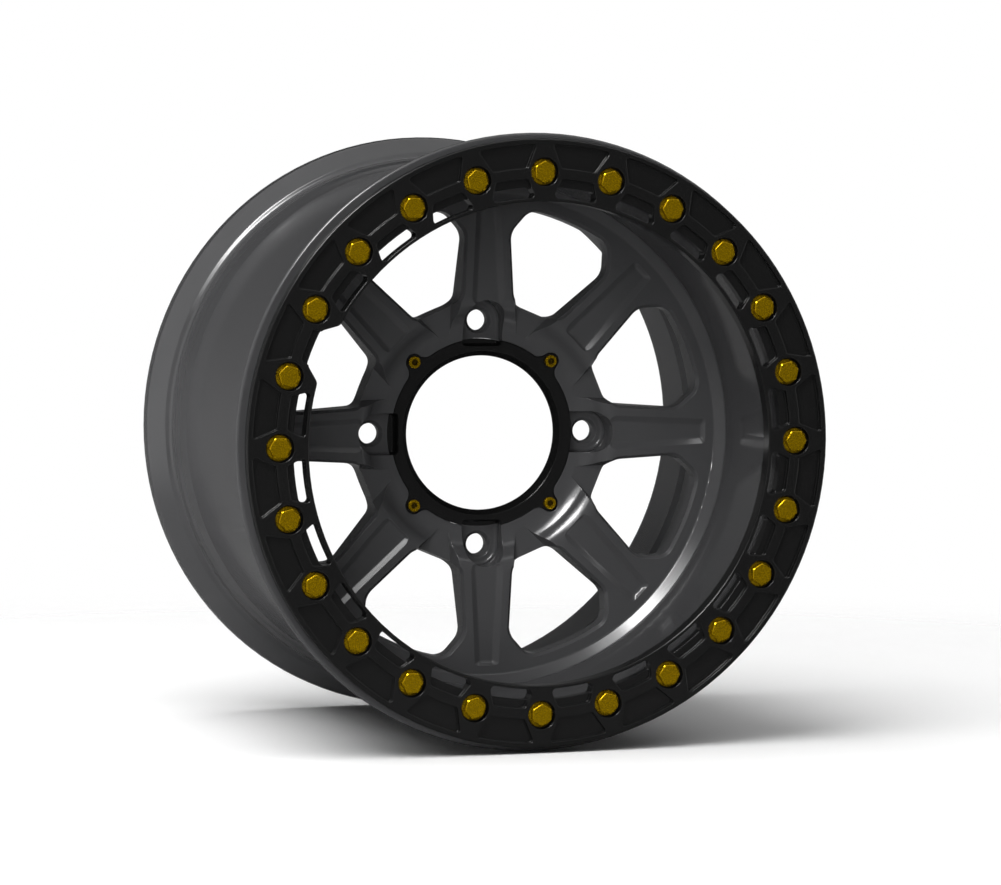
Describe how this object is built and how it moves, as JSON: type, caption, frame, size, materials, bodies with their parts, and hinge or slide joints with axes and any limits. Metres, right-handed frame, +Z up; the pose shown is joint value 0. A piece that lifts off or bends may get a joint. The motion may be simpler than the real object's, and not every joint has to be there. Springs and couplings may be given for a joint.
{
  "type": "beadlock wheel",
  "caption": "Deep-dish forged spoked off-road wheel with a bolted beadlock clamp ring, lug-bolted hub, centre ring and tyre valve.",
  "frame": {"origin": "on the axle's axis, in the plane of the hub mounting face", "axes": "+Y along the axle from the outer side towards the vehicle, +Z up, +X to the right seen from the outer side"},
  "size_m": [0.412, 0.2828, 0.4118],
  "materials": {
    "satin_black_wheel": "semi-gloss black coating on forged aluminium",
    "black_ring": "semi-gloss black coating on machined aluminium",
    "gold_zinc_bolts": "gold plated steel, satin",
    "valve_metal": "nickel plated, satin",
    "valve_brass": "plain brass",
    "valve_cap_plastic": "moulded black plastic",
    "valve_rubber": "moulded black rubber"
  },
  "bodies": {
    "root": {"wheel": "satin_black_wheel", "beadlock_ring": "black_ring", "center_ring": "black_ring", "beadlock_bolts": "gold_zinc_bolts", "center_ring_screws": "gold_zinc_bolts", "valve_stem": "valve_metal", "valve_nut": "valve_metal", "valve_washer": "valve_metal", "valve_core": "valve_brass", "valve_cap": "valve_cap_plastic", "valve_seal": "valve_rubber"}
  },
  "joints": []
}
